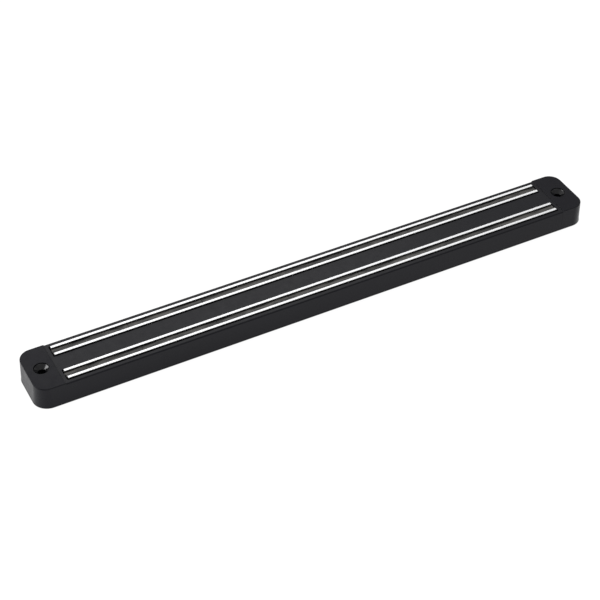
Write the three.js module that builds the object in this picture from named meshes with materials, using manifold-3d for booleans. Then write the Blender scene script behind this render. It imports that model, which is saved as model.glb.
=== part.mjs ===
// Wall-mounted magnetic knife rack: a long black ABS housing that carries two magnetic rails.
// Each rail is a row of ferrite blocks between two steel pole strips, whose polished edges
// stand proud of the housing's front face and hold the blades.
//
// Millimetres. The origin is the centre of the back plane that lies on the wall.
// +X runs along the rack, +Y is up the wall and +Z points away from the wall.
import * as THREE from "three";
import { mergeVertices } from "three/addons/utils/BufferGeometryUtils.js";
import Module from "manifold-3d";

const wasm = await Module();
wasm.setup();

// Driving dimensions of the housing.
const LENGTH = 500;
const WIDTH = 49;
const CORNER_RADIUS = 12.5; // plan view, at the back
const CORNER_TAPER = 1.9; // how much smaller the corner radius is at the front
const END_HEIGHT = 19.7; // front face of the two end blocks
const MID_HEIGHT = 19; // front face between the end blocks
const END_BLOCK_X = 226; // where the end blocks begin
const END_DRAFT_X = 1.4; // how much each end leans in from back to front
const END_DRAFT_Y = 0.25; // the same for the sides of the end blocks
const END_EDGE_RADIUS = 0.8; // rounding where the end blocks' front faces meet their sides
const MID_EDGE_RADIUS = 1.2; // the same for the middle
const MID_INSET = 0.05; // how far the middle's sides sit inside the end blocks' sides
const STEP_RUN = 0.5; // length of the slope from the middle's front face up to an end block's
const SKIN = 2.6; // thickness of the front face
const CAVITY_INSET = 3.4;
const ARC_STEPS = 10; // segments in a quarter circle of the outline
const EDGE_STEPS = 4; // segments across a rounded front edge
const ROUND_SIDES = 40; // sides of the wall-screw holes and their posts
const SMALL_SIDES = 24; // sides of the cover screws, their holes and posts

// Back cover and the recess that it sits in.
const COVER_INSET = 2.2;
const COVER_CLEARANCE = 0.2;
const COVER_THICKNESS = 2.2;
const COVER_REST_GAP = 0.02;

// Magnetic rails.
const RAIL_Y = 14.3; // centre of each rail, above and below the middle
const POLE_THICKNESS = 2.8;
const POLE_HEIGHT = 14;
const POLE_PROUD = 1; // how far the poles stand out of the middle's front face
const POLE_LENGTH = 444.6; // the edge that shows
const TAB_LENGTH = 6.4; // the part of each pole's end that tucks under an end block
const TAB_GAP = 0.4;
const MAGNET_THICKNESS = 5.4;
const MAGNET_HEIGHT = 11.5;
const MAGNET_RECESS = 1.4; // depth of the magnets below the poles' edges
const MAGNET_COUNT = 7;
const MAGNET_GAP = 0.6;
const GLUE_LINE = 0.05;
const RAIL_GAP = 0.55; // air between a rail and its channel
const WINDOW_END_GAP = 1;
const CHANNEL_WALL = 1.6;
const CHANNEL_BOTTOM = 5;
const CHANNEL_END_GAP = 0.6;

// Wall-screw holes, one in each end block.
const HOLE_X = 236.6;
const HOLE_RADIUS = 3;
const COUNTERBORE_RADIUS = 6.2;
const COUNTERBORE_DEPTH = 1.1;
const HOLE_POST_RADIUS = 8;

// Screws that hold the back cover, on the centre line.
const SCREW_PITCH = 90;
const SCREW_COUNT = 5;
const SCREW_POST_RADIUS = 3.8;
const PILOT_RADIUS = 1.5;
const PILOT_DEPTH = 10;
const SCREW_HEAD_RADIUS = 2.75;
const SCREW_HEAD_HEIGHT = 1.5;
const SCREW_SHANK_RADIUS = 1.35;
const SCREW_LENGTH = 8.5;
const SCREW_HEAD_SINK = 0.35; // depth of the head's face from the wall plane
const RECESS_WIDTH = 0.7;
const RECESS_LENGTH = 2.9;
const RECESS_DEPTH = 1;
const SEAT_CLEARANCE = 0.15; // air around each screw in the cover
const RIB_THICKNESS = 1.5;

// Worked out from the above.
const CAVITY_TOP = MID_HEIGHT - SKIN;
const COVER_LEDGE = COVER_THICKNESS + COVER_REST_GAP; // height of the ledge that the cover lies on
const POLE_TOP = MID_HEIGHT + POLE_PROUD;
const POLE_BOTTOM = POLE_TOP - POLE_HEIGHT;
const POLE_OFFSET = MAGNET_THICKNESS / 2 + GLUE_LINE + POLE_THICKNESS / 2;
const RAIL_HALF = POLE_OFFSET + POLE_THICKNESS / 2;
const CHANNEL_HALF = RAIL_HALF + RAIL_GAP;
const CHANNEL_END_X = POLE_LENGTH / 2 + TAB_LENGTH + CHANNEL_END_GAP;
const FIRST_SCREW_X = (-(SCREW_COUNT - 1) * SCREW_PITCH) / 2;
const SCREW_X = Array.from({ length: SCREW_COUNT }, (_, i) => FIRST_SCREW_X + i * SCREW_PITCH);
const OVERLAP = 0.5; // how far joined pieces run into each other, and cuts run past a face
const FINEST_DETAIL = 0.001; // joining solids leaves slivers narrower than this, which are merged away

// A closed geometry as a manifold solid.
function solid(geometry) {
  const bare = geometry.clone();
  bare.deleteAttribute("normal");
  bare.deleteAttribute("uv");
  const merged = mergeVertices(bare, 1e-4);
  return new wasm.Manifold(
    new wasm.Mesh({
      numProp: 3,
      vertProperties: new Float32Array(merged.attributes.position.array),
      triVerts: new Uint32Array(merged.index.array),
    }),
  );
}

// A manifold solid back as a geometry, with normals.
function geometryOf(body) {
  const mesh = body.asOriginal().simplify(FINEST_DETAIL).getMesh();
  const positions = new Float32Array(mesh.numVert * 3);
  for (let i = 0; i < mesh.numVert; i++) {
    positions.set(mesh.vertProperties.subarray(i * mesh.numProp, i * mesh.numProp + 3), i * 3);
  }
  const geometry = new THREE.BufferGeometry();
  geometry.setAttribute("position", new THREE.BufferAttribute(positions, 3));
  geometry.setIndex(new THREE.BufferAttribute(new Uint32Array(mesh.triVerts), 1));
  const flat = geometry.toNonIndexed();
  flat.computeVertexNormals();
  return flat;
}

// A box given by its lowest and highest corners.
function box(low, high) {
  const geometry = new THREE.BoxGeometry(high[0] - low[0], high[1] - low[1], high[2] - low[2]);
  geometry.translate((low[0] + high[0]) / 2, (low[1] + high[1]) / 2, (low[2] + high[2]) / 2);
  return solid(geometry);
}

// A body turned about a vertical axis through (x, 0), from a profile of [radius, height] points.
function turned(x, profile, sides = ROUND_SIDES) {
  const points = profile.map(([radius, z]) => new THREE.Vector2(radius, z));
  const geometry = new THREE.LatheGeometry(points, sides);
  geometry.rotateX(Math.PI / 2);
  geometry.translate(x, 0, 0);
  return solid(geometry);
}

function cylinder(x, radius, bottom, top, sides = ROUND_SIDES) {
  const profile = [
    [0, bottom],
    [radius, bottom],
    [radius, top],
    [0, top],
  ];
  return turned(x, profile, sides);
}

function roundedRectangle(length, width, radius) {
  const x = length / 2 - radius;
  const y = width / 2 - radius;
  const shape = new THREE.Shape();
  shape.absarc(x, y, radius, 0, Math.PI / 2);
  shape.absarc(-x, y, radius, Math.PI / 2, Math.PI);
  shape.absarc(-x, -y, radius, Math.PI, 1.5 * Math.PI);
  shape.absarc(x, -y, radius, 1.5 * Math.PI, 2 * Math.PI);
  return shape;
}

// A plate with the outline of the housing drawn in by inset, between two heights.
function plate(inset, bottom, top) {
  const shape = roundedRectangle(LENGTH - 2 * inset, WIDTH - 2 * inset, CORNER_RADIUS - inset);
  const geometry = new THREE.ExtrudeGeometry(shape, {
    depth: top - bottom,
    bevelEnabled: false,
    curveSegments: ARC_STEPS,
  });
  geometry.translate(0, 0, bottom);
  return solid(geometry);
}

// The room between the end blocks, whose inner faces slope up from the middle's front face.
function roomBetweenEnds() {
  const slope = STEP_RUN / (END_HEIGHT - MID_HEIGHT);
  const foot = MID_HEIGHT - OVERLAP;
  const footX = END_BLOCK_X - OVERLAP * slope;
  const top = END_HEIGHT + OVERLAP;
  const topX = END_BLOCK_X + (top - MID_HEIGHT) * slope;
  const shape = new THREE.Shape();
  shape.moveTo(-footX, -WIDTH);
  shape.lineTo(footX, -WIDTH);
  shape.lineTo(footX, foot);
  shape.lineTo(topX, top);
  shape.lineTo(-topX, top);
  shape.lineTo(-footX, foot);
  const geometry = new THREE.ExtrudeGeometry(shape, { depth: 2 * WIDTH, bevelEnabled: false });
  geometry.rotateX(Math.PI / 2);
  geometry.translate(0, WIDTH, 0);
  return solid(geometry);
}

// The outside of the end blocks: the full outline with a rounded front edge, which leans in
// towards the front.
function endForm() {
  const shape = roundedRectangle(LENGTH, WIDTH, CORNER_RADIUS);
  const geometry = new THREE.ExtrudeGeometry(shape, {
    depth: END_HEIGHT,
    bevelThickness: END_EDGE_RADIUS,
    bevelSize: END_EDGE_RADIUS,
    bevelOffset: -END_EDGE_RADIUS,
    bevelSegments: EDGE_STEPS,
    curveSegments: ARC_STEPS,
  });
  geometry.translate(0, 0, -END_EDGE_RADIUS);
  const position = geometry.attributes.position;
  const leanIn = (value, half, draft, lean) => {
    const radius = CORNER_RADIUS - CORNER_TAPER * lean;
    const fromArcCentre = Math.abs(value) - (half - CORNER_RADIUS);
    const arcCentre = half - draft * lean - radius;
    return Math.sign(value) * (arcCentre + (fromArcCentre * radius) / CORNER_RADIUS);
  };
  for (let i = 0; i < position.count; i++) {
    const lean = position.getZ(i) / END_HEIGHT;
    position.setX(i, leanIn(position.getX(i), LENGTH / 2, END_DRAFT_X, lean));
    position.setY(i, leanIn(position.getY(i), WIDTH / 2, END_DRAFT_Y, lean));
  }
  const behindWall = box([-LENGTH, -WIDTH, -WIDTH], [LENGTH, WIDTH, 0]);
  return solid(geometry).subtract(roomBetweenEnds()).subtract(behindWall);
}

// The outside of the middle: a section with rounded front edges, run between the end blocks.
function midForm() {
  const back = WIDTH / 2 - MID_INSET;
  const front = back - (END_DRAFT_Y * MID_HEIGHT) / END_HEIGHT;
  const arcY = front - MID_EDGE_RADIUS;
  const arcZ = MID_HEIGHT - MID_EDGE_RADIUS;
  const shape = new THREE.Shape();
  shape.moveTo(-back, 0);
  shape.lineTo(back, 0);
  shape.lineTo(front, arcZ);
  shape.absarc(arcY, arcZ, MID_EDGE_RADIUS, 0, Math.PI / 2);
  shape.lineTo(-arcY, MID_HEIGHT);
  shape.absarc(-arcY, arcZ, MID_EDGE_RADIUS, Math.PI / 2, Math.PI);
  const run = 2 * (END_BLOCK_X + OVERLAP);
  const settings = { depth: run, bevelEnabled: false, curveSegments: EDGE_STEPS };
  const geometry = new THREE.ExtrudeGeometry(shape, settings);
  geometry.translate(0, 0, -run / 2);
  geometry.rotateY(Math.PI / 2);
  geometry.rotateX(Math.PI / 2);
  return solid(geometry);
}

// Inside the housing: a channel for each rail, the posts for the screws and the ribs between them.
function innerStructure() {
  const top = CAVITY_TOP + OVERLAP;
  const inner = RAIL_Y - CHANNEL_HALF;
  const outer = RAIL_Y + CHANNEL_HALF;
  const sideWall = WIDTH / 2 - CAVITY_INSET + OVERLAP;
  const reach = CHANNEL_END_X + CHANNEL_WALL;
  const pieces = [];
  // A wall from x0 to x1, between two distances from the centre line, on one side of it.
  const wall = (side, x0, x1, near, far) => {
    const low = Math.min(side * near, side * far);
    const high = Math.max(side * near, side * far);
    pieces.push(box([x0, low, CHANNEL_BOTTOM], [x1, high, top]));
  };
  for (const side of [1, -1]) {
    wall(side, -reach, reach, inner - CHANNEL_WALL, inner);
    wall(side, -reach, reach, outer, sideWall);
    wall(side, -reach, -CHANNEL_END_X, inner - CHANNEL_WALL, sideWall);
    wall(side, CHANNEL_END_X, reach, inner - CHANNEL_WALL, sideWall);
  }
  const ribReach = inner - CHANNEL_WALL / 2;
  for (let i = 0; i < 2 * SCREW_COUNT - 1; i++) {
    const x = FIRST_SCREW_X + (i * SCREW_PITCH) / 2;
    wall(1, x - RIB_THICKNESS / 2, x + RIB_THICKNESS / 2, -ribReach, ribReach);
  }
  for (const x of SCREW_X) {
    pieces.push(cylinder(x, SCREW_POST_RADIUS, COVER_LEDGE, top, SMALL_SIDES));
  }
  for (const x of [-HOLE_X, HOLE_X]) {
    pieces.push(cylinder(x, HOLE_POST_RADIUS, 0, top));
  }
  return pieces.reduce((whole, piece) => whole.add(piece));
}

// A wall-screw hole: a short counterbore, a 90 degree countersink and a straight hole to the back.
function wallHole(x) {
  const seat = END_HEIGHT - COUNTERBORE_DEPTH;
  const throat = seat - (COUNTERBORE_RADIUS - HOLE_RADIUS);
  return turned(x, [
    [0, -OVERLAP],
    [HOLE_RADIUS, -OVERLAP],
    [HOLE_RADIUS, throat],
    [COUNTERBORE_RADIUS, seat],
    [COUNTERBORE_RADIUS, END_HEIGHT + OVERLAP],
    [0, END_HEIGHT + OVERLAP],
  ]);
}

function housing() {
  let body = endForm().add(midForm());
  body = body.subtract(plate(COVER_INSET, -OVERLAP, COVER_LEDGE));
  body = body.subtract(plate(CAVITY_INSET, -OVERLAP, CAVITY_TOP));
  body = body.add(innerStructure());
  const windowX = POLE_LENGTH / 2 + WINDOW_END_GAP;
  for (const y of [RAIL_Y, -RAIL_Y]) {
    const low = [-windowX, y - CHANNEL_HALF, CHANNEL_BOTTOM - OVERLAP];
    const high = [windowX, y + CHANNEL_HALF, END_HEIGHT + OVERLAP];
    body = body.subtract(box(low, high));
  }
  for (const x of SCREW_X) {
    const pilotTop = COVER_LEDGE + PILOT_DEPTH;
    body = body.subtract(cylinder(x, PILOT_RADIUS, COVER_LEDGE - OVERLAP, pilotTop, SMALL_SIDES));
  }
  for (const x of [-HOLE_X, HOLE_X]) {
    body = body.subtract(wallHole(x));
  }
  return body;
}

// The hole in the cover for one screw, countersunk from the wall side.
function coverScrewHole(x) {
  const head = SCREW_HEAD_RADIUS + SEAT_CLEARANCE;
  const shank = SCREW_SHANK_RADIUS + SEAT_CLEARANCE;
  const seat = SCREW_HEAD_SINK + SEAT_CLEARANCE;
  const profile = [
    [0, -OVERLAP],
    [head, -OVERLAP],
    [head, seat],
    [shank, seat + SCREW_HEAD_HEIGHT],
    [shank, COVER_THICKNESS + OVERLAP],
    [0, COVER_THICKNESS + OVERLAP],
  ];
  return turned(x, profile, SMALL_SIDES);
}

// The flat cover of the back, with a rib under each pole strip and holes for the posts and screws.
function backCover() {
  let body = plate(COVER_INSET + COVER_CLEARANCE, 0, COVER_THICKNESS);
  const ribTop = POLE_BOTTOM - COVER_CLEARANCE;
  for (const rail of [RAIL_Y, -RAIL_Y]) {
    for (const y of [rail - POLE_OFFSET, rail + POLE_OFFSET]) {
      const low = [-POLE_LENGTH / 2, y - RIB_THICKNESS / 2, COVER_THICKNESS - OVERLAP];
      const high = [POLE_LENGTH / 2, y + RIB_THICKNESS / 2, ribTop];
      body = body.add(box(low, high));
    }
  }
  for (const x of [-HOLE_X, HOLE_X]) {
    const radius = HOLE_POST_RADIUS + COVER_CLEARANCE;
    body = body.subtract(cylinder(x, radius, -OVERLAP, COVER_THICKNESS + OVERLAP));
  }
  for (const x of SCREW_X) {
    body = body.subtract(coverScrewHole(x));
  }
  return body;
}

// One self-tapping countersunk screw with a cross recess, its head towards the wall.
function coverScrew(x) {
  const head = SCREW_HEAD_SINK;
  const tip = head + SCREW_LENGTH;
  const profile = [
    [0, head],
    [SCREW_HEAD_RADIUS, head],
    [SCREW_SHANK_RADIUS, head + SCREW_HEAD_HEIGHT],
    [SCREW_SHANK_RADIUS, tip - 2 * SCREW_SHANK_RADIUS],
    [0, tip],
  ];
  let body = turned(x, profile, SMALL_SIDES);
  const half = RECESS_WIDTH / 2;
  const long = RECESS_LENGTH / 2;
  const bottom = head + RECESS_DEPTH;
  body = body.subtract(box([x - half, -long, head - OVERLAP], [x + half, long, bottom]));
  body = body.subtract(box([x - long, -half, head - OVERLAP], [x + long, half, bottom]));
  return body;
}

// A flat steel strip on edge. Its ends are stepped down, so that they tuck under the end blocks.
function poleStrip() {
  const edge = POLE_LENGTH / 2;
  const end = edge + TAB_LENGTH;
  const shoulder = CAVITY_TOP - TAB_GAP;
  const shape = new THREE.Shape();
  shape.moveTo(-end, POLE_BOTTOM);
  shape.lineTo(end, POLE_BOTTOM);
  shape.lineTo(end, shoulder);
  shape.lineTo(edge, shoulder);
  shape.lineTo(edge, POLE_TOP);
  shape.lineTo(-edge, POLE_TOP);
  shape.lineTo(-edge, shoulder);
  shape.lineTo(-end, shoulder);
  const geometry = new THREE.ExtrudeGeometry(shape, { depth: POLE_THICKNESS, bevelEnabled: false });
  geometry.rotateX(Math.PI / 2);
  geometry.translate(0, POLE_THICKNESS / 2, 0);
  return geometry;
}

const ABS = new THREE.MeshStandardMaterial({ color: 0x141416, roughness: 0.55, metalness: 0 });
const STEEL = new THREE.MeshStandardMaterial({ color: 0xc9ccd0, roughness: 0.22, metalness: 1 });
const FERRITE = new THREE.MeshStandardMaterial({ color: 0x3a3836, roughness: 0.6, metalness: 0.1 });
const ZINC = new THREE.MeshStandardMaterial({ color: 0xa8aaac, roughness: 0.35, metalness: 1 });

const rack = new THREE.Group();

function place(name, geometry, material, x = 0, y = 0, z = 0) {
  const mesh = new THREE.Mesh(geometry, material);
  mesh.name = name;
  mesh.position.set(x, y, z);
  rack.add(mesh);
}

place("housing", geometryOf(housing()), ABS);
place("back_cover", geometryOf(backCover()), ABS);

const pole = poleStrip();
const magnetPitch = (POLE_LENGTH + MAGNET_GAP) / MAGNET_COUNT;
const magnet = new THREE.BoxGeometry(magnetPitch - MAGNET_GAP, MAGNET_THICKNESS, MAGNET_HEIGHT);
const magnetZ = POLE_TOP - MAGNET_RECESS - MAGNET_HEIGHT / 2;
for (const [rail, side] of [["upper", 1], ["lower", -1]]) {
  const y = side * RAIL_Y;
  place(`${rail}_outer_pole`, pole, STEEL, 0, y + side * POLE_OFFSET);
  place(`${rail}_inner_pole`, pole, STEEL, 0, y - side * POLE_OFFSET);
  for (let i = 0; i < MAGNET_COUNT; i++) {
    const x = (i - (MAGNET_COUNT - 1) / 2) * magnetPitch;
    place(`${rail}_magnet_${i + 1}`, magnet, FERRITE, x, y, magnetZ);
  }
}

SCREW_X.forEach((x, i) => place(`cover_screw_${i + 1}`, geometryOf(coverScrew(x)), ZINC));

export default rack;
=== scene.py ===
"""The looks of a wall-mounted magnetic knife rack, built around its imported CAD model.

Metres, in the model's own frame: +X along the rack, +Y across it, +Z out of the wall.
"""

import math
import random

import bmesh
import bpy
from mathutils import Matrix, Vector, noise


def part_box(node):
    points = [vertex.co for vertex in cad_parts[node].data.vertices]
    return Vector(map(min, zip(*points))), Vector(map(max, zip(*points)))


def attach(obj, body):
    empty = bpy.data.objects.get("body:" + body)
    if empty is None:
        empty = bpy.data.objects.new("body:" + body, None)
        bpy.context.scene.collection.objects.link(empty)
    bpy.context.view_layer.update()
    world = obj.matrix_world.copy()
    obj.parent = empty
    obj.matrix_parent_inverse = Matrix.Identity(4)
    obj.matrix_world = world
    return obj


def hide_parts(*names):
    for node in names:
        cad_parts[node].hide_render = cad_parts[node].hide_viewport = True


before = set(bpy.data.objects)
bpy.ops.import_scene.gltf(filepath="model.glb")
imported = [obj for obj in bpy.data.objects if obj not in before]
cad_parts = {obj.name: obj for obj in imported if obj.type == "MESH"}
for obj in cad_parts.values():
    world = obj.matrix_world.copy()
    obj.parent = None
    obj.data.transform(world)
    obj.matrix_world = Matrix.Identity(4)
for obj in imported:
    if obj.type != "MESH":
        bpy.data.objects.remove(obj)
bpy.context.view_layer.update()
MM = 0.001

# Sizes that the frame gives.
HOUSING_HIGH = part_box("housing")[1]
HALF_LENGTH = HOUSING_HIGH.x
HALF_WIDTH = HOUSING_HIGH.y
END_HEIGHT = HOUSING_HIGH.z
POLE_LOW, POLE_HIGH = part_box("upper_outer_pole")
POLE_TOP = POLE_HIGH.z
POLE_BOTTOM = POLE_LOW.z
POLE_TAB_END = POLE_HIGH.x
RAIL_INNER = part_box("upper_inner_pole")[0].y
RAIL_OUTER = POLE_HIGH.y
RAIL_Y = (RAIL_INNER + RAIL_OUTER) / 2
RAIL_HALF = (RAIL_OUTER - RAIL_INNER) / 2

# Sizes of the housing that its box doesn't give.
MID_HEIGHT = POLE_TOP - 1 * MM
END_BLOCK_X = 226 * MM
CORNER_RADIUS = 12.5 * MM
CORNER_TAPER = 1.9 * MM
END_DRAFT_X = 1.4 * MM
END_DRAFT_Y = 0.25 * MM
END_EDGE_RADIUS = 0.8 * MM
MID_EDGE_RADIUS = 1.2 * MM
MID_INSET = 0.05 * MM
STEP_RUN = 0.5 * MM
BACK_EDGE_RADIUS = 0.4 * MM
POLE_END = 222.3 * MM
POLE_SHOULDER = MID_HEIGHT - 3 * MM
POLE_CORNER = 0.45 * MM
WINDOW_GAP = 0.55 * MM
WINDOW_END_GAP = 1 * MM
WINDOW_CORNER = 0.6 * MM
WINDOW_MOUTH_RADIUS = 0.25 * MM
CAVITY_TOP = MID_HEIGHT - 2.6 * MM
CAVITY_INSET = 3.4 * MM
CHANNEL_BOTTOM = 5 * MM
CHANNEL_WALL = 1.6 * MM
CHANNEL_END_GAP = 0.6 * MM
COVER_INSET = 2.2 * MM
COVER_CLEARANCE = 0.2 * MM
COVER_THICKNESS = 2.2 * MM
COVER_EDGE_RADIUS = 0.25 * MM
HOLE_X = 236.6 * MM
HOLE_RADIUS = 3 * MM
COUNTERBORE_RADIUS = 6.2 * MM
COUNTERBORE_DEPTH = 1.1 * MM
HOLE_POST_RADIUS = 8 * MM
SCREW_NODES = sorted(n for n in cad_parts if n.startswith("cover_screw"))
SCREW_X = [(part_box(n)[0].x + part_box(n)[1].x) / 2 for n in SCREW_NODES]
SCREW_POST_RADIUS = 3.8 * MM
PILOT_RADIUS = 1.5 * MM
PILOT_DEPTH = 10 * MM
RIB_THICKNESS = 1.5 * MM
HOLE_EASE = 0.35 * MM
ARC_STEPS = 24
PAST = 0.5 * MM  # how far cuts run past a face and joined pieces into each other
SLIVER = 0.002 * MM  # points closer than this are one point
TOUCH = 0.05 * MM  # how far off a surface a face may lie and still belong to it


# Building blocks.


def new_object(name, mesh):
    made = bpy.data.objects.new(name, mesh)
    bpy.context.scene.collection.objects.link(made)
    return made


def loft(name, rings):
    """A closed body through rings of points with equal counts, with a flat cap at each end."""
    bm = bmesh.new()
    rows = [[bm.verts.new(point) for point in ring] for ring in rings]
    count = len(rows[0])
    for low, high in zip(rows, rows[1:]):
        for i in range(count):
            j = (i + 1) % count
            bm.faces.new((low[i], low[j], high[j], high[i]))
    bm.faces.new(list(reversed(rows[0])))
    bm.faces.new(rows[-1])
    bmesh.ops.recalc_face_normals(bm, faces=bm.faces)
    mesh = bpy.data.meshes.new(name)
    bm.to_mesh(mesh)
    bm.free()
    return new_object(name, mesh)


def bake_modifiers(body):
    """Replaces the body's mesh by what its modifiers make of it."""
    depsgraph = bpy.context.evaluated_depsgraph_get()
    made = bpy.data.meshes.new_from_object(body.evaluated_get(depsgraph))
    body.modifiers.clear()
    old = body.data
    body.data = made
    bpy.data.meshes.remove(old)


def combine(body, tool, operation):
    """Joins (UNION) or cuts (DIFFERENCE) the body with the tool, which is used up."""
    modifier = body.modifiers.new("combine", "BOOLEAN")
    modifier.operation = operation
    modifier.object = tool
    modifier.solver = "EXACT"
    bake_modifiers(body)
    bpy.data.objects.remove(tool)


def close_slivers(mesh):
    """Splits the faces into triangles and merges the almost coincident points left by cutting."""
    bm = bmesh.new()
    bm.from_mesh(mesh)
    bmesh.ops.triangulate(bm, faces=bm.faces)
    bmesh.ops.remove_doubles(bm, verts=bm.verts, dist=SLIVER)
    bmesh.ops.dissolve_degenerate(bm, dist=SLIVER, edges=bm.edges)
    bm.to_mesh(mesh)
    bm.free()


def rounded_rectangle(half_x, half_y, radius, z, steps=ARC_STEPS, centre_y=0.0):
    points = []
    for quarter in range(4):
        centre = (
            (half_x - radius) * (1 if quarter in (0, 3) else -1),
            (half_y - radius) * (1 if quarter in (0, 1) else -1) + centre_y,
        )
        for i in range(steps + 1):
            angle = (quarter + i / steps) * math.pi / 2
            x = centre[0] + radius * math.cos(angle)
            y = centre[1] + radius * math.sin(angle)
            points.append((x, y, z))
    return points


def circle(x, y, radius, z, steps=64, start=0.0):
    """A ring of points whose first one lies start steps round from the X direction."""
    turns = [2 * math.pi * (i + start) / steps for i in range(steps)]
    return [(x + radius * math.cos(a), y + radius * math.sin(a), z) for a in turns]


def lathe(name, x, y, profile, steps=64):
    """A body turned about a vertical axis from (radius, height) pairs, from bottom to top.

    Its corners lie half a step round, which keeps them off the rack's centre line: cuts that
    share a corner with each other's edges leave slivers.
    """
    return loft(name, [circle(x, y, radius, z, steps, 0.5) for radius, z in profile])


def block(name, low, high):
    corners = [(low[0], low[1]), (high[0], low[1]), (high[0], high[1]), (low[0], high[1])]
    return loft(name, [[(x, y, z) for x, y in corners] for z in (low[2], high[2])])


def fillet(radius, steps=6):
    """(distance in, distance up) pairs round a quarter circle, from the side to the face."""
    angles = [math.pi / 2 * i / steps for i in range(steps + 1)]
    return [(radius * (1 - math.cos(a)), radius * math.sin(a)) for a in angles]


def turned_in(z, top, radius):
    """How far a rounded front edge of that radius has drawn in at height z."""
    up = z - (top - radius)
    return 0.0 if up <= 0 else radius - math.sqrt(max(radius**2 - up**2, 0.0))


def flare(radius, steps=5, sweep=math.radians(78), run=0.4 * MM):
    """(distance out, distance up) pairs of a cutter that leaves a rounded mouth.

    They follow a quarter circle for most of its sweep and then run straight on, out of the face.
    """
    pairs = [
        (radius * (1 - math.cos(a)), radius * math.sin(a))
        for a in (sweep * i / steps for i in range(steps + 1))
    ]
    out, up = pairs[-1]
    return pairs + [(out + run * math.sin(sweep), up + run * math.cos(sweep))]


# The housing.


def step_profile(steps=8):
    """(distance along, height) pairs of the soft step from the middle's face up to an end block's."""
    rise = END_HEIGHT - MID_HEIGHT
    shares = [i / steps for i in range(1, steps + 1)]
    return [
        (END_BLOCK_X + STEP_RUN * t, MID_HEIGHT + rise * (1 - math.cos(math.pi * t)) / 2)
        for t in shares
    ]


def step_x(z):
    """Where an end block's inner end lies at height z."""
    points = [(END_BLOCK_X - PAST, MID_HEIGHT - PAST)] + step_profile()
    for (low_x, low_z), (high_x, high_z) in zip(points, points[1:]):
        if low_z <= z <= high_z:
            return low_x + (high_x - low_x) * (z - low_z) / (high_z - low_z)
    return points[0][0] if z < points[0][1] else points[-1][0]


def end_block_ring(side, z):
    lean = z / END_HEIGHT
    drawn_in = turned_in(z, END_HEIGHT, END_EDGE_RADIUS)
    if z < BACK_EDGE_RADIUS:
        drawn_in = turned_in(BACK_EDGE_RADIUS - z, BACK_EDGE_RADIUS, BACK_EDGE_RADIUS)
    radius = CORNER_RADIUS - CORNER_TAPER * lean - drawn_in
    half_x = HALF_LENGTH - END_DRAFT_X * lean - drawn_in
    half_y = HALF_WIDTH - END_DRAFT_Y * lean - drawn_in
    inner_x = step_x(z)
    points = [(inner_x, -half_y, z)]
    for half in (-1, 1):
        centre = (half_x - radius, half * (half_y - radius))
        for i in range(ARC_STEPS + 1):
            angle = math.pi / 2 * (i / ARC_STEPS + (half - 1) / 2)
            x = centre[0] + radius * math.cos(angle)
            y = centre[1] + radius * math.sin(angle)
            points.append((x, y, z))
    points.append((inner_x, half_y, z))
    return [(side * x, y, z) for x, y, z in points]


def end_block(side):
    back = [BACK_EDGE_RADIUS - up for _, up in reversed(fillet(BACK_EDGE_RADIUS, 4))]
    outer = [END_HEIGHT - END_EDGE_RADIUS + up for _, up in fillet(END_EDGE_RADIUS, 8)]
    step = [MID_HEIGHT - PAST] + [z for _, z in step_profile()]
    heights = sorted({round(z, 7) for z in back + outer + step})
    return loft("end_block", [end_block_ring(side, z) for z in heights])


def middle_section(x):
    """The outline of the housing between its end blocks, in the plane at x."""
    back = HALF_WIDTH - MID_INSET
    front = back - END_DRAFT_Y * MID_HEIGHT / END_HEIGHT
    arc_z = MID_HEIGHT - MID_EDGE_RADIUS
    half = [(back - i, BACK_EDGE_RADIUS - up) for i, up in reversed(fillet(BACK_EDGE_RADIUS, 4))]
    half += [(front - i, arc_z + up) for i, up in fillet(MID_EDGE_RADIUS, 10)]
    mirrored = [(-y, z) for y, z in reversed(half)]
    return [(x, y, z) for y, z in half + mirrored]


def window_cutter(rail_y):
    half_x = POLE_END + WINDOW_END_GAP
    half_y = RAIL_HALF + WINDOW_GAP
    rings = [(0.0, CHANNEL_BOTTOM - PAST)]
    foot = MID_HEIGHT - WINDOW_MOUTH_RADIUS
    rings += [(out, foot + up) for out, up in flare(WINDOW_MOUTH_RADIUS)]
    return loft(
        "window",
        [
            rounded_rectangle(half_x + out, half_y + out, WINDOW_CORNER + out, z, 6, rail_y)
            for out, z in rings
        ],
    )


def hole_cutter(x):
    """A through hole with a countersink and a short counterbore, every edge slightly rounded."""
    seat = END_HEIGHT - COUNTERBORE_DEPTH
    throat = seat - (COUNTERBORE_RADIUS - HOLE_RADIUS)
    mouth = END_HEIGHT - HOLE_EASE
    blunting = 0.3 * HOLE_EASE
    profile = [
        (HOLE_RADIUS, -PAST),
        (HOLE_RADIUS, throat - HOLE_EASE),
        (HOLE_RADIUS + blunting, throat),
        (HOLE_RADIUS + HOLE_EASE, throat + HOLE_EASE),
        (COUNTERBORE_RADIUS - HOLE_EASE, seat - HOLE_EASE),
        (COUNTERBORE_RADIUS - blunting, seat),
        (COUNTERBORE_RADIUS, seat + HOLE_EASE),
    ]
    profile += [(COUNTERBORE_RADIUS + out, mouth + up) for out, up in flare(HOLE_EASE)]
    return lathe("hole", x, 0, profile, 96)


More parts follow.
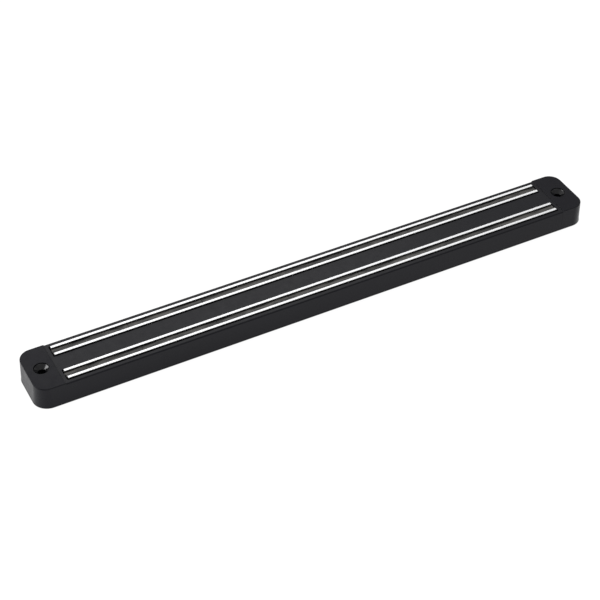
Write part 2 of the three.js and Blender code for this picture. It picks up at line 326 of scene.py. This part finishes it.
def inner_structure(body):
    """Adds the rail channels, the ribs and the screw posts inside the hollow housing."""
    top = CAVITY_TOP + PAST
    reach = POLE_TAB_END + CHANNEL_END_GAP + CHANNEL_WALL
    inner = RAIL_Y - RAIL_HALF - WINDOW_GAP
    outer = RAIL_Y + RAIL_HALF + WINDOW_GAP
    wall = HALF_WIDTH - CAVITY_INSET + PAST
    pieces = []
    for side in (1, -1):
        for near, far in ((inner - CHANNEL_WALL, inner), (outer, wall)):
            y = sorted((side * near, side * far))
            pieces.append(((-reach, y[0], CHANNEL_BOTTOM), (reach, y[1], top)))
        y = sorted((side * (inner - PAST), side * (outer + PAST)))
        for end in (1, -1):
            x = sorted((end * (reach - CHANNEL_WALL), end * reach))
            pieces.append(((x[0], y[0], CHANNEL_BOTTOM), (x[1], y[1], top)))
    half = RIB_THICKNESS / 2
    rib_reach = inner - CHANNEL_WALL / 2
    middles = [(a + b) / 2 for a, b in zip(SCREW_X, SCREW_X[1:])]
    for x in SCREW_X + middles:
        pieces.append(((x - half, -rib_reach, CHANNEL_BOTTOM), (x + half, rib_reach, top)))
    for low, high in pieces:
        combine(body, block("wall", low, high), "UNION")
    for x in SCREW_X:
        profile = [(SCREW_POST_RADIUS, COVER_THICKNESS), (SCREW_POST_RADIUS, top)]
        combine(body, lathe("post", x, 0, profile, 40), "UNION")
    for x in (-HOLE_X, HOLE_X):
        profile = [(HOLE_POST_RADIUS, 0), (HOLE_POST_RADIUS, top)]
        combine(body, lathe("post", x, 0, profile, 72), "UNION")


def plate_cutter(inset, top):
    radius = CORNER_RADIUS - inset
    half_x = HALF_LENGTH - inset
    half_y = HALF_WIDTH - inset
    return loft("plate", [rounded_rectangle(half_x, half_y, radius, z) for z in (-PAST, top)])


def build_housing():
    run = END_BLOCK_X + PAST
    body = loft("housing_moulding", [middle_section(-run), middle_section(run)])
    for side in (-1, 1):
        combine(body, end_block(side), "UNION")
    combine(body, plate_cutter(COVER_INSET, COVER_THICKNESS), "DIFFERENCE")
    combine(body, plate_cutter(CAVITY_INSET, CAVITY_TOP), "DIFFERENCE")
    inner_structure(body)
    for rail_y in (RAIL_Y, -RAIL_Y):
        combine(body, window_cutter(rail_y), "DIFFERENCE")
    for x in SCREW_X:
        depth = COVER_THICKNESS + PILOT_DEPTH
        pilot = lathe("pilot", x, 0, [(PILOT_RADIUS, -PAST), (PILOT_RADIUS, depth)], 32)
        combine(body, pilot, "DIFFERENCE")
    for x in (-HOLE_X, HOLE_X):
        combine(body, hole_cutter(x), "DIFFERENCE")
    return body


# The steel pole strips.


def pole_bar(half_x, low, high, top):
    """A bar between two Y values, from the poles' bottom up to top, with every edge rounded."""
    half_y = (high - low) / 2
    centre_y = (high + low) / 2
    upright = 1.1 * POLE_CORNER  # the upright edges' radius, just over that of the edges they meet
    foot = POLE_BOTTOM + POLE_CORNER
    levels = [(inward, foot - up) for inward, up in reversed(fillet(POLE_CORNER, 3))]
    levels += [(inward, top - POLE_CORNER + up) for inward, up in fillet(POLE_CORNER, 5)]
    rings = [
        rounded_rectangle(half_x - inward, half_y - inward, upright - inward, z, 5, centre_y)
        for inward, z in levels
    ]
    return loft("bar", rings)


def build_pole(node):
    """A strip on edge with eased corners, stepped down at its ends to tuck under the end blocks."""
    low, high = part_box(node)
    strip = pole_bar(POLE_END, low.y, high.y, POLE_TOP)
    tab = pole_bar(POLE_TAB_END, low.y, high.y, POLE_SHOULDER)
    combine(strip, tab, "UNION")
    strip.name = node + "_strip"
    return strip


# The ferrite blocks.

MAGNET_CREEP = 0.2 * MM  # how far each end runs on towards the next block, past the solid's end
MAGNET_EDGE = 0.15 * MM  # how worn the edges are where nothing has chipped them
MAGNET_STEP = 0.6 * MM
WEAR_LENGTH = 1.7 * MM
CHIP_LENGTH = 5 * MM
CHIP_DEPTH = 6.4 * MAGNET_EDGE


def edge_radius(x, corner, seed):
    """How far one long edge of a block is worn back at x, with a chip here and there."""
    wear = noise.noise(Vector((x / WEAR_LENGTH, 7.3 * corner, seed)))
    chip = noise.noise(Vector((x / CHIP_LENGTH, 3.1 * corner, seed + 40)))
    return MAGNET_EDGE * (1.1 + 0.6 * wear) + CHIP_DEPTH * max(0.0, chip - 0.25)


def build_magnet(node, seed):
    """A block with the small chips that sintered blocks have along their edges."""
    low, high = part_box(node)
    low.x -= MAGNET_CREEP
    high.x += MAGNET_CREEP
    half_y = (high.y - low.y) / 2
    half_z = (high.z - low.z) / 2
    centre_y = (high.y + low.y) / 2
    centre_z = (high.z + low.z) / 2
    first = low.x + MAGNET_EDGE
    length = high.x - low.x - 2 * MAGNET_EDGE
    count = round(length / MAGNET_STEP)
    blunting = 0.3 * MAGNET_EDGE
    stations = [(low.x, MAGNET_EDGE), (low.x + blunting, blunting)]
    stations += [(first + length * i / count, 0.0) for i in range(count + 1)]
    stations += [(high.x - blunting, blunting), (high.x, MAGNET_EDGE)]
    rings = []
    for x, inward in stations:
        ring = []
        for quarter in range(4):
            side_y = 1 if quarter in (0, 3) else -1
            side_z = 1 if quarter in (0, 1) else -1
            radius = edge_radius(x, quarter, seed)
            for i in range(5):
                angle = (quarter + i / 4) * math.pi / 2
                y = side_y * (half_y - inward - radius) + radius * math.cos(angle)
                z = side_z * (half_z - inward - radius) + radius * math.sin(angle)
                ring.append((x, centre_y + y, centre_z + z))
        rings.append(ring)
    return loft(node + "_block", rings)


# The back cover and its screws.

SCREW_HEAD_RADIUS = 2.75 * MM
SCREW_HEAD_HEIGHT = 1.5 * MM
SCREW_ROOT = 1.05 * MM
SCREW_CREST = 1.35 * MM
THREAD_PITCH = 1 * MM
THREAD_STEP = THREAD_PITCH / 8
TIP_LENGTH = 1.6 * SCREW_CREST
TIP_BLUNTNESS = 0.02
SEAT_CLEARANCE = 0.15 * MM
SCREW_EASE = 0.12 * MM
COVER_HOLE_EASE = 0.2 * MM
HEAD_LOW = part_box(SCREW_NODES[0])[0].z
SCREW_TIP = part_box(SCREW_NODES[0])[1].z
# Half width, half length and depth of the recess's wings, from just outside the head inwards.
RECESS_LEVELS = (
    (0.42 * MM, 1.55 * MM, -0.1 * MM),
    (0.36 * MM, 1.35 * MM, 0.1 * MM),
    (0.2 * MM, 0.5 * MM, 1.1 * MM),
)


def build_cover():
    """A plate with a rib behind each pole, its screw holes, and holes that let the posts through."""
    inset = COVER_INSET + COVER_CLEARANCE
    levels = [(i, COVER_EDGE_RADIUS - up) for i, up in reversed(fillet(COVER_EDGE_RADIUS, 4))]
    levels.append((0.0, COVER_THICKNESS))
    rings = []
    for drawn_in, z in levels:
        half_x = HALF_LENGTH - inset - drawn_in
        half_y = HALF_WIDTH - inset - drawn_in
        rings.append(rounded_rectangle(half_x, half_y, CORNER_RADIUS - inset - drawn_in, z))
    body = loft("cover_plate", rings)
    rib_top = POLE_BOTTOM - COVER_CLEARANCE
    for node in ("upper_outer_pole", "upper_inner_pole", "lower_inner_pole", "lower_outer_pole"):
        low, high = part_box(node)
        y = (low.y + high.y) / 2
        low_corner = (-POLE_END, y - RIB_THICKNESS / 2, COVER_THICKNESS - PAST)
        high_corner = (POLE_END, y + RIB_THICKNESS / 2, rib_top)
        combine(body, block("rib", low_corner, high_corner), "UNION")
    ease = COVER_HOLE_EASE
    for x in (-HOLE_X, HOLE_X):
        radius = HOLE_POST_RADIUS + COVER_CLEARANCE
        profile = [(radius + 2 * ease, -ease), (radius, ease), (radius, COVER_THICKNESS + PAST)]
        combine(body, lathe("post_hole", x, 0, profile, 72), "DIFFERENCE")
    head = SCREW_HEAD_RADIUS + SEAT_CLEARANCE
    shank = SCREW_CREST + SEAT_CLEARANCE
    seat = HEAD_LOW + SEAT_CLEARANCE
    for x in SCREW_X:
        profile = [
            (head + 2 * ease, -ease),
            (head, ease),
            (head, seat),
            (shank, seat + SCREW_HEAD_HEIGHT),
            (shank, COVER_THICKNESS + PAST),
        ]
        combine(body, lathe("screw_hole", x, 0, profile, 48), "DIFFERENCE")
    return body


def thread_ring(x, z, steps=24):
    """A ring of the screw's shank, whose radius rises and falls along the thread's helix."""
    taper = min(1.0, (SCREW_TIP - z) / TIP_LENGTH + TIP_BLUNTNESS)
    points = []
    for i in range(steps):
        turn = i / steps
        phase = (z / THREAD_PITCH - turn) % 1.0
        rise = max(0.0, 1 - abs(phase - 0.5) * 4)
        radius = (SCREW_ROOT + (SCREW_CREST - SCREW_ROOT) * rise) * taper
        angle = 2 * math.pi * turn
        points.append((x + radius * math.cos(angle), radius * math.sin(angle), z))
    return points


def recess_wing(x, angle):
    """One of the two crossed wedges that cut a screw's recess, narrowing into the head."""
    rings = []
    for half_width, half_length, depth in RECESS_LEVELS:
        corners = [
            (-half_length, -half_width),
            (half_length, -half_width),
            (half_length, half_width),
            (-half_length, half_width),
        ]
        turned = [Matrix.Rotation(angle, 2) @ Vector(corner) for corner in corners]
        rings.append([(x + point.x, point.y, HEAD_LOW + depth) for point in turned])
    return loft("wing", rings)


def build_screw(node, x, turn):
    """A countersunk thread-forming screw with a cross recess, its head towards the wall."""
    neck = HEAD_LOW + SCREW_HEAD_HEIGHT
    outer = [(SCREW_HEAD_RADIUS - SCREW_EASE, HEAD_LOW), (SCREW_HEAD_RADIUS, HEAD_LOW + SCREW_EASE)]
    rings = [circle(x, 0, radius, z, 24) for radius, z in outer + [(SCREW_ROOT, neck)]]
    z = neck + THREAD_STEP
    while z < SCREW_TIP:
        rings.append(thread_ring(x, z))
        z += THREAD_STEP
    body = loft(node + "_threaded", rings)
    for angle in (turn, turn + math.pi / 2):
        combine(body, recess_wing(x, angle), "DIFFERENCE")
    return body


# Materials. Texture scales are in turns per metre, and colours are linear.

DUST = (0.09, 0.088, 0.084)
POLISHED_STEEL = ((0.68, 0.684, 0.688), (0.74, 0.742, 0.745))
SCORED_STEEL = (0.44, 0.44, 0.45)
# Dark steel for the strips' sides and rounded corners: partly the mill finish, partly painted shade.
ROLLED_STEEL_AND_SHADE = ((0.085, 0.085, 0.09), (0.15, 0.148, 0.145))
HOLE_BLACK = ((0.0030, 0.0030, 0.0040), (0.0045, 0.0045, 0.0058))
FERRITE_GREY = ((0.006, 0.0057, 0.0053), (0.071, 0.0675, 0.0625))
FERRITE_GRAIN = (0.094, 0.09, 0.083)
PINHOLE = (0.012, 0.012, 0.012)
ZINC_CAST = ((0.60, 0.59, 0.53), (0.55, 0.58, 0.61))


class Nodes:
    """Adds nodes to the tree of a material or of the world and joins them up."""

    def __init__(self, owner):
        self.tree = owner.node_tree
        self.shader = self.tree.nodes.get("Principled BSDF")
        coordinates = self.add("ShaderNodeTexCoord")
        self.place = coordinates.outputs["Object"]
        self.normal = coordinates.outputs["Normal"]
        self.direction = coordinates.outputs["Generated"]

    def add(self, kind, **settings):
        node = self.tree.nodes.new(kind)
        for key, value in settings.items():
            setattr(node, key, value)
        return node

    def link(self, source, target):
        self.tree.links.new(source, target)

    def stretched(self, scale):
        """The place on the object, scaled along each axis."""
        mapping = self.add("ShaderNodeMapping")
        mapping.inputs["Scale"].default_value = scale
        self.link(self.place, mapping.inputs["Vector"])
        return mapping.outputs["Vector"]

    def noise(self, scale, detail=2.0, roughness=0.5, place=None, distortion=0.0):
        texture = self.add("ShaderNodeTexNoise")
        texture.inputs["Scale"].default_value = scale
        texture.inputs["Detail"].default_value = detail
        texture.inputs["Roughness"].default_value = roughness
        texture.inputs["Distortion"].default_value = distortion
        self.link(place or self.place, texture.inputs["Vector"])
        return texture.outputs["Fac"]

    def voronoi(self, scale):
        texture = self.add("ShaderNodeTexVoronoi")
        texture.inputs["Scale"].default_value = scale
        self.link(self.place, texture.inputs["Vector"])
        return texture.outputs["Distance"], texture.outputs["Color"]

    def split(self, vector):
        """The X, Y and Z of a vector."""
        parts = self.add("ShaderNodeSeparateXYZ")
        self.link(vector, parts.inputs["Vector"])
        return parts.outputs["X"], parts.outputs["Y"], parts.outputs["Z"]

    def facing_out(self):
        """1 where the surface faces along the object's Z axis, 0 on its sides."""
        z = self.split(self.normal)[2]
        return self.spread(self.math("ABSOLUTE", z, 0.0), 0.9, 0.98)

    def spread(self, value, low, high, to_low=0.0, to_high=1.0):
        """The value's stretch from low to high, spread over to_low to to_high."""
        node = self.add("ShaderNodeMapRange")
        node.inputs["From Min"].default_value = low
        node.inputs["From Max"].default_value = high
        node.inputs["To Min"].default_value = to_low
        node.inputs["To Max"].default_value = to_high
        self.link(value, node.inputs["Value"])
        return node.outputs["Result"]

    def math(self, operation, first, second):
        node = self.add("ShaderNodeMath", operation=operation)
        for socket, value in zip(node.inputs, (first, second)):
            if isinstance(value, float):
                socket.default_value = value
            else:
                self.link(value, socket)
        return node.outputs["Value"]

    def mix(self, factor, first, second):
        """Between two colours, each a colour or a socket."""
        node = self.add("ShaderNodeMix", data_type="RGBA")
        self.link(factor, node.inputs[0])
        for socket, value in ((node.inputs[6], first), (node.inputs[7], second)):
            if isinstance(value, tuple):
                socket.default_value = (*value, 1.0)
            else:
                self.link(value, socket)
        return node.outputs[2]

    def bump(self, height, distance, strength=1.0, under=None):
        node = self.add("ShaderNodeBump")
        node.inputs["Distance"].default_value = distance
        node.inputs["Strength"].default_value = strength
        self.link(height, node.inputs["Height"])
        if under is not None:
            self.link(under, node.inputs["Normal"])
        return node.outputs["Normal"]

    def finish(self, colour, roughness, normal):
        self.link(colour, self.shader.inputs["Base Color"])
        self.link(roughness, self.shader.inputs["Roughness"])
        self.link(normal, self.shader.inputs["Normal"])


def new_material(name, metallic, specular):
    material = bpy.data.materials.new(name)
    material.use_nodes = True
    nodes = Nodes(material)
    nodes.shader.inputs["Metallic"].default_value = metallic
    nodes.shader.inputs["Specular IOR Level"].default_value = specular
    return material, nodes


def satin_abs(name, dark, light, rough_low, rough_high, specular):
    """Black moulded plastic: a fine grain, faint flow marks and ripples, hairlines and dust."""
    material, nodes = new_material(name, 0.0, specular)
    flow = nodes.noise(28, 2, 0.5, nodes.stretched((0.35, 1.0, 1.0)))
    colour = nodes.mix(nodes.spread(flow, 0.3, 0.7), dark, light)
    scratches = nodes.noise(1, 2, 0.6, nodes.stretched((30, 1900, 1900)))
    patches = nodes.spread(nodes.noise(90, 3), 0.5, 0.62)
    hairline = nodes.math("MULTIPLY", nodes.spread(scratches, 0.66, 0.74), patches)
    worn = tuple(2.2 * c for c in light)
    colour = nodes.mix(nodes.math("MULTIPLY", hairline, 0.35), colour, worn)
    distance, pick = nodes.voronoi(420)
    speck = nodes.math("LESS_THAN", distance, 0.09)
    rare = nodes.math("GREATER_THAN", pick, 0.93)
    speck = nodes.math("MULTIPLY", speck, rare)
    colour = nodes.mix(nodes.math("MULTIPLY", speck, 0.5), colour, DUST)
    roughness = nodes.spread(nodes.noise(160, 4, 0.6), 0.3, 0.7, rough_low, rough_high)
    roughness = nodes.math("ADD", roughness, nodes.math("MULTIPLY", speck, 0.2))
    ripple = nodes.noise(1, 3, 0.6, nodes.stretched((330, 330, 90)))
    waves = nodes.bump(ripple, 0.05 * MM, 0.8)
    grain = nodes.noise(2600, 3, 0.55)
    normal = nodes.bump(grain, 0.012 * MM, 0.55, waves)
    nodes.finish(colour, roughness, normal)
    return material


def ground_steel():
    """Steel strip whose edge is polished along its length and whose sides keep the mill's finish; the
    sides' darkness is partly that finish and partly painted shade.
    """
    material, nodes = new_material("ground_steel", 1.0, 0.5)
    lines = nodes.noise(1, 3, 0.6, nodes.stretched((14, 3800, 3800)))
    deep = nodes.spread(nodes.noise(1, 1, 0.5, nodes.stretched((6, 1500, 1500))), 0.62, 0.7)
    smear = nodes.noise(70, 3, 0.55)
    polished = nodes.mix(nodes.spread(smear, 0.3, 0.7), *POLISHED_STEEL)
    polished = nodes.mix(nodes.math("MULTIPLY", deep, 0.25), polished, SCORED_STEEL)
    scale = nodes.noise(900, 4, 0.65)
    rolled_and_shaded = nodes.mix(nodes.spread(scale, 0.3, 0.7), *ROLLED_STEEL_AND_SHADE)
    # Partly painted shade: the strips' sides and rounded corners take the dark steel because of the
    # way they face.
    edge = nodes.facing_out()
    colour = nodes.mix(edge, rolled_and_shaded, polished)
    roughness = nodes.spread(lines, 0.25, 0.75, 0.33, 0.43)
    roughness = nodes.math("ADD", roughness, nodes.spread(smear, 0.4, 0.8, 0.0, 0.05))
    roughness = nodes.math("MAXIMUM", roughness, nodes.spread(edge, 0.0, 1.0, 0.5, 0.0))
    fine = nodes.bump(lines, 0.0015 * MM, 0.6)
    normal = nodes.bump(deep, 0.004 * MM, 0.5, fine)
    nodes.finish(colour, roughness, normal)
    along = nodes.add("ShaderNodeCombineXYZ")
    along.inputs["X"].default_value = 1.0
    nodes.link(along.outputs["Vector"], nodes.shader.inputs["Tangent"])
    nodes.shader.inputs["Anisotropic"].default_value = 0.9
    return material


def smooth_abs():
    """The same plastic where the mould was polished, inside the screw holes."""
    material, nodes = new_material("smooth_abs", 0.0, 0.5)
    flow = nodes.noise(260, 2, 0.5)
    colour = nodes.mix(nodes.spread(flow, 0.3, 0.7), *HOLE_BLACK)
    roughness = nodes.spread(nodes.noise(900, 3, 0.6), 0.3, 0.7, 0.10, 0.18)
    nodes.finish(colour, roughness, nodes.bump(flow, 0.02 * MM, 0.5))
    return material


def bare_ferrite():
    """Sintered ferrite: dark grey, grainy, with paler grinding lines and pinholes."""
    material, nodes = new_material("bare_ferrite", 0.0, 0.30)
    grains = nodes.noise(2400, 4, 0.7)
    cloud = nodes.noise(1, 2, 0.6, nodes.stretched((70, 520, 520)))
    drift = nodes.spread(nodes.noise(1, 1, 0.5, nodes.stretched((16, 24, 0))), 0.3, 0.7, -0.06, 0.06)
    cloud = nodes.math("ADD", cloud, drift)
    lines = nodes.noise(1, 2, 0.6, nodes.stretched((60, 2600, 2600)))
    distance, pick = nodes.voronoi(1300)
    hole = nodes.math("LESS_THAN", distance, 0.16)
    hole = nodes.math("MULTIPLY", hole, nodes.math("GREATER_THAN", pick, 0.8))
    colour = nodes.mix(nodes.spread(cloud, 0.42, 0.58), *FERRITE_GREY)
    colour = nodes.mix(nodes.spread(grains, 0.55, 0.8), colour, FERRITE_GRAIN)
    colour = nodes.mix(nodes.math("MULTIPLY", hole, 0.8), colour, PINHOLE)
    roughness = nodes.spread(lines, 0.25, 0.75, 0.34, 0.46)
    coarse = nodes.bump(grains, 0.02 * MM, 0.5)
    normal = nodes.bump(lines, 0.006 * MM, 0.4, coarse)
    nodes.finish(colour, roughness, normal)
    return material


def bright_zinc():
    """Zinc plating with a faint yellow and blue cast and a slightly grainy surface."""
    material, nodes = new_material("bright_zinc", 1.0, 0.5)
    cast = nodes.noise(420, 2)
    grain = nodes.noise(3000, 3, 0.6)
    colour = nodes.mix(nodes.spread(cast, 0.35, 0.65), *ZINC_CAST)
    roughness = nodes.spread(grain, 0.3, 0.7, 0.24, 0.42)
    nodes.finish(colour, roughness, nodes.bump(grain, 0.008 * MM, 0.4))
    return material


HOUSING_ABS = satin_abs(
    "satin_abs",
    dark=(0.0030, 0.0030, 0.0052),
    light=(0.0045, 0.0044, 0.0070),
    rough_low=0.27,
    rough_high=0.36,
    specular=0.142,
)
HOLE_ABS = smooth_abs()
# A darker, less reflective copy of the housing plastic for the end blocks' tops: painted shade, since
# the housing is one moulding.
SHADED_END_ABS = satin_abs(
    "end_abs_painted_shade",
    dark=(0.0028, 0.0027, 0.0052),
    light=(0.0042, 0.0040, 0.0070),
    rough_low=0.29,
    rough_high=0.38,
    specular=0.105,
)
COVER_ABS = satin_abs(
    "cover_abs",
    dark=(0.0065, 0.0065, 0.0070),
    light=(0.0090, 0.0090, 0.0096),
    rough_low=0.46,
    rough_high=0.60,
    specular=0.20,
)
STEEL = ground_steel()
FERRITE = bare_ferrite()
ZINC = bright_zinc()


# Assembly.


def in_screw_hole(mesh, face):
    """True for the faces inside the wall-screw holes, up to the rounding of their mouths."""
    points = [mesh.vertices[i].co for i in face.vertices]
    return all(math.hypot(abs(p.x) - HOLE_X, p.y) < COUNTERBORE_RADIUS + TOUCH for p in points)


def on_end_face(face):
    """True for the flat tops of the end blocks."""
    return face.normal.z > 0.99 and face.center.z > END_HEIGHT - TOUCH


SHARP_ANGLE = math.radians(35)


def present(piece, material, nodes):
    """Finishes a piece: material, shading, the body that it rides on and the nodes it stands for."""
    close_slivers(piece.data)
    piece.data.materials.clear()
    piece.data.materials.append(material)
    piece.data.shade_smooth()
    piece.data.set_sharp_from_angle(angle=SHARP_ANGLE)
    normals = piece.modifiers.new("normals", "WEIGHTED_NORMAL")
    normals.keep_sharp = True
    normals.weight = 100
    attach(piece, "root")
    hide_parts(*nodes)


housing = build_housing()
present(housing, HOUSING_ABS, ["housing"])
finishes = housing.data.materials
finishes.append(HOLE_ABS)
finishes.append(SHADED_END_ABS)
for face in housing.data.polygons:
    if in_screw_hole(housing.data, face):
        face.material_index = finishes.find(HOLE_ABS.name)
    # The end blocks' flat tops take the darker copy of the plastic: painted shade.
    elif on_end_face(face):
        face.material_index = finishes.find(SHADED_END_ABS.name)
present(build_cover(), COVER_ABS, ["back_cover"])
for node in sorted(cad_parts):
    if node.endswith("_pole"):
        present(build_pole(node), STEEL, [node])
    elif "_magnet_" in node:
        seed = 11 * int(node.split("_")[-1]) + (5 if node.startswith("upper") else 0)
        present(build_magnet(node, seed), FERRITE, [node])
turns = random.Random(4)
for node, x in zip(SCREW_NODES, SCREW_X):
    present(build_screw(node, x, turns.uniform(0, math.pi / 2)), ZINC, [node])


# Stage, lights and camera.


FLOOR_HALF = 6.0
FLOOR_DROP = 0.1 * MM  # the floor lies this far under the back, so that the two don't coincide
FLOOR_GLOW = 0.95
# The floor's glow is painted: a painted contact shadow at the rack's foot and a painted pool of light
# in front.
CONTACT_SHADOW = 0.4 * MM  # how far from the housing's foot the floor stays dark
SHADOW_INNER = (-1.4 * MM, -0.9 * MM)  # where the glow under the rack gives way to that dark line
FRONT_GLOW = 0.3  # what the floor adds near the left half of the front


def distance_from_foot(nodes):
    """How far a point of the floor lies outside the rack's rounded outline, less than 0 inside."""
    x, y, _ = nodes.split(nodes.place)
    past_x = nodes.math("SUBTRACT", nodes.math("ABSOLUTE", x, 0.0), HALF_LENGTH - CORNER_RADIUS)
    past_y = nodes.math("SUBTRACT", nodes.math("ABSOLUTE", y, 0.0), HALF_WIDTH - CORNER_RADIUS)
    past_x = nodes.math("MAXIMUM", past_x, 0.0)
    past_y = nodes.math("MAXIMUM", past_y, 0.0)
    square = nodes.math("ADD", nodes.math("POWER", past_x, 2.0), nodes.math("POWER", past_y, 2.0))
    return nodes.math("SUBTRACT", nodes.math("SQRT", square, 0.0), CORNER_RADIUS)


def floor_glow(nodes):
    """The floor's own light: even, but for a painted shadow line at the foot and a little more, a
    painted pool of light, in front.
    """
    gap = distance_from_foot(nodes)
    outside = nodes.spread(gap, 0.0, CONTACT_SHADOW, 0.0, FLOOR_GLOW)
    beneath = nodes.spread(gap, *SHADOW_INNER, FLOOR_GLOW, 0.0)
    x, y, _ = nodes.split(nodes.place)
    before = nodes.spread(y, -20 * MM, 20 * MM, FRONT_GLOW, 0.0)
    leftwards = nodes.spread(x, -100 * MM, 200 * MM, 1.0, 0.0)
    front = nodes.math("MULTIPLY", before, leftwards)
    front = nodes.math("MULTIPLY", nodes.spread(gap, 3 * MM, 22 * MM), front)
    return nodes.math("ADD", nodes.math("MAXIMUM", outside, beneath), front)


def build_floor():
    """A bright floor, dark only in a painted shadow at the rack's foot, and clear from below, to show
    the back.
    """
    low = (-FLOOR_HALF, -FLOOR_HALF, -10 * MM)
    floor = block("floor", low, (FLOOR_HALF, FLOOR_HALF, -FLOOR_DROP))
    bm = bmesh.new()
    bm.from_mesh(floor.data)
    bmesh.ops.delete(bm, geom=[f for f in bm.faces if f.normal.z < 0.5], context="FACES")
    bm.to_mesh(floor.data)
    bm.free()
    material, nodes = new_material("pale_floor", 0.0, 0.1)
    tree = material.node_tree
    shader = nodes.shader
    shader.inputs["Base Color"].default_value = (0.1, 0.1, 0.1, 1.0)
    shader.inputs["Roughness"].default_value = 0.9
    shader.inputs["Emission Color"].default_value = (1.0, 1.0, 1.0, 1.0)
    nodes.link(floor_glow(nodes), shader.inputs["Emission Strength"])
    side = tree.nodes.new("ShaderNodeNewGeometry")
    clear = tree.nodes.new("ShaderNodeBsdfTransparent")
    chosen = tree.nodes.new("ShaderNodeMixShader")
    tree.links.new(side.outputs["Backfacing"], chosen.inputs[0])
    tree.links.new(shader.outputs["BSDF"], chosen.inputs[1])
    tree.links.new(clear.outputs["BSDF"], chosen.inputs[2])
    tree.links.new(chosen.outputs["Shader"], tree.nodes["Material Output"].inputs["Surface"])
    floor.data.materials.append(material)


def area_light(name, place, target, size, power):
    """A rectangular softbox, size metres wide and high, that faces the target."""
    light = bpy.data.lights.new(name, "AREA")
    light.shape = "RECTANGLE"
    light.size, light.size_y = size
    light.energy = power
    lamp = bpy.data.objects.new(name, light)
    lamp.location = place
    lamp.rotation_euler = (Vector(target) - Vector(place)).to_track_quat("-Z", "Y").to_euler()
    bpy.context.scene.collection.objects.link(lamp)


def build_world():
    """Soft light from all round.

    It is dimmer in front, but for a bright patch straight ahead, and a little dimmer far to the
    right. It is brightest overhead, more so towards the right.
    """
    world = bpy.data.worlds.new("studio")
    world.use_nodes = True
    nodes = Nodes(world)
    x, y, z = nodes.split(nodes.direction)
    front_to_back = nodes.spread(y, -0.5, 0.3, 0.45, 0.78)
    right = nodes.spread(x, 0.35, 0.8, 0.0, -0.12)
    height = nodes.math("ADD", z, nodes.math("MULTIPLY", x, 0.35))
    overhead = nodes.spread(height, 0.82, 0.97, 0.0, 0.8)
    straight_ahead = nodes.spread(y, -0.95, -0.72, 0.6, 0.0)
    strength = nodes.math("ADD", front_to_back, right)
    strength = nodes.math("ADD", strength, overhead)
    strength = nodes.math("ADD", strength, straight_ahead)
    background = world.node_tree.nodes["Background"]
    background.inputs["Color"].default_value = (1.0, 1.0, 1.0, 1.0)
    nodes.link(strength, background.inputs["Strength"])
    bpy.context.scene.world = world


CAMERA_PLACE = Vector((-0.4606, -0.8573, 0.8578))
CAMERA_AZIMUTH = math.radians(27.485)
CAMERA_ELEVATION = math.radians(41.657)
CAMERA_LENS = 94.79
CAMERA_SENSOR = 36


def build_camera():
    """Looks down on the rack from beyond its left end, along a line given by two angles."""
    lens = bpy.data.cameras.new("camera")
    lens.lens = CAMERA_LENS
    lens.sensor_width = CAMERA_SENSOR
    camera = bpy.data.objects.new("camera", lens)
    sight = Vector((
        math.sin(CAMERA_AZIMUTH) * math.cos(CAMERA_ELEVATION),
        math.cos(CAMERA_AZIMUTH) * math.cos(CAMERA_ELEVATION),
        -math.sin(CAMERA_ELEVATION),
    ))
    camera.location = CAMERA_PLACE
    camera.rotation_euler = sight.to_track_quat("-Z", "Y").to_euler()
    bpy.context.scene.collection.objects.link(camera)
    bpy.context.scene.camera = camera


build_floor()
build_world()
build_camera()
area_light("back_softbox", (0.2, 1.31, 1.2), target=(0, 0, 0), size=(1.4, 0.6), power=4.6)
area_light("left_softbox", (-1.45, 0.46, 0.54), target=(-0.24, 0, 0), size=(1.25, 0.55), power=12.5)
bpy.context.scene.view_settings.view_transform = "Standard"
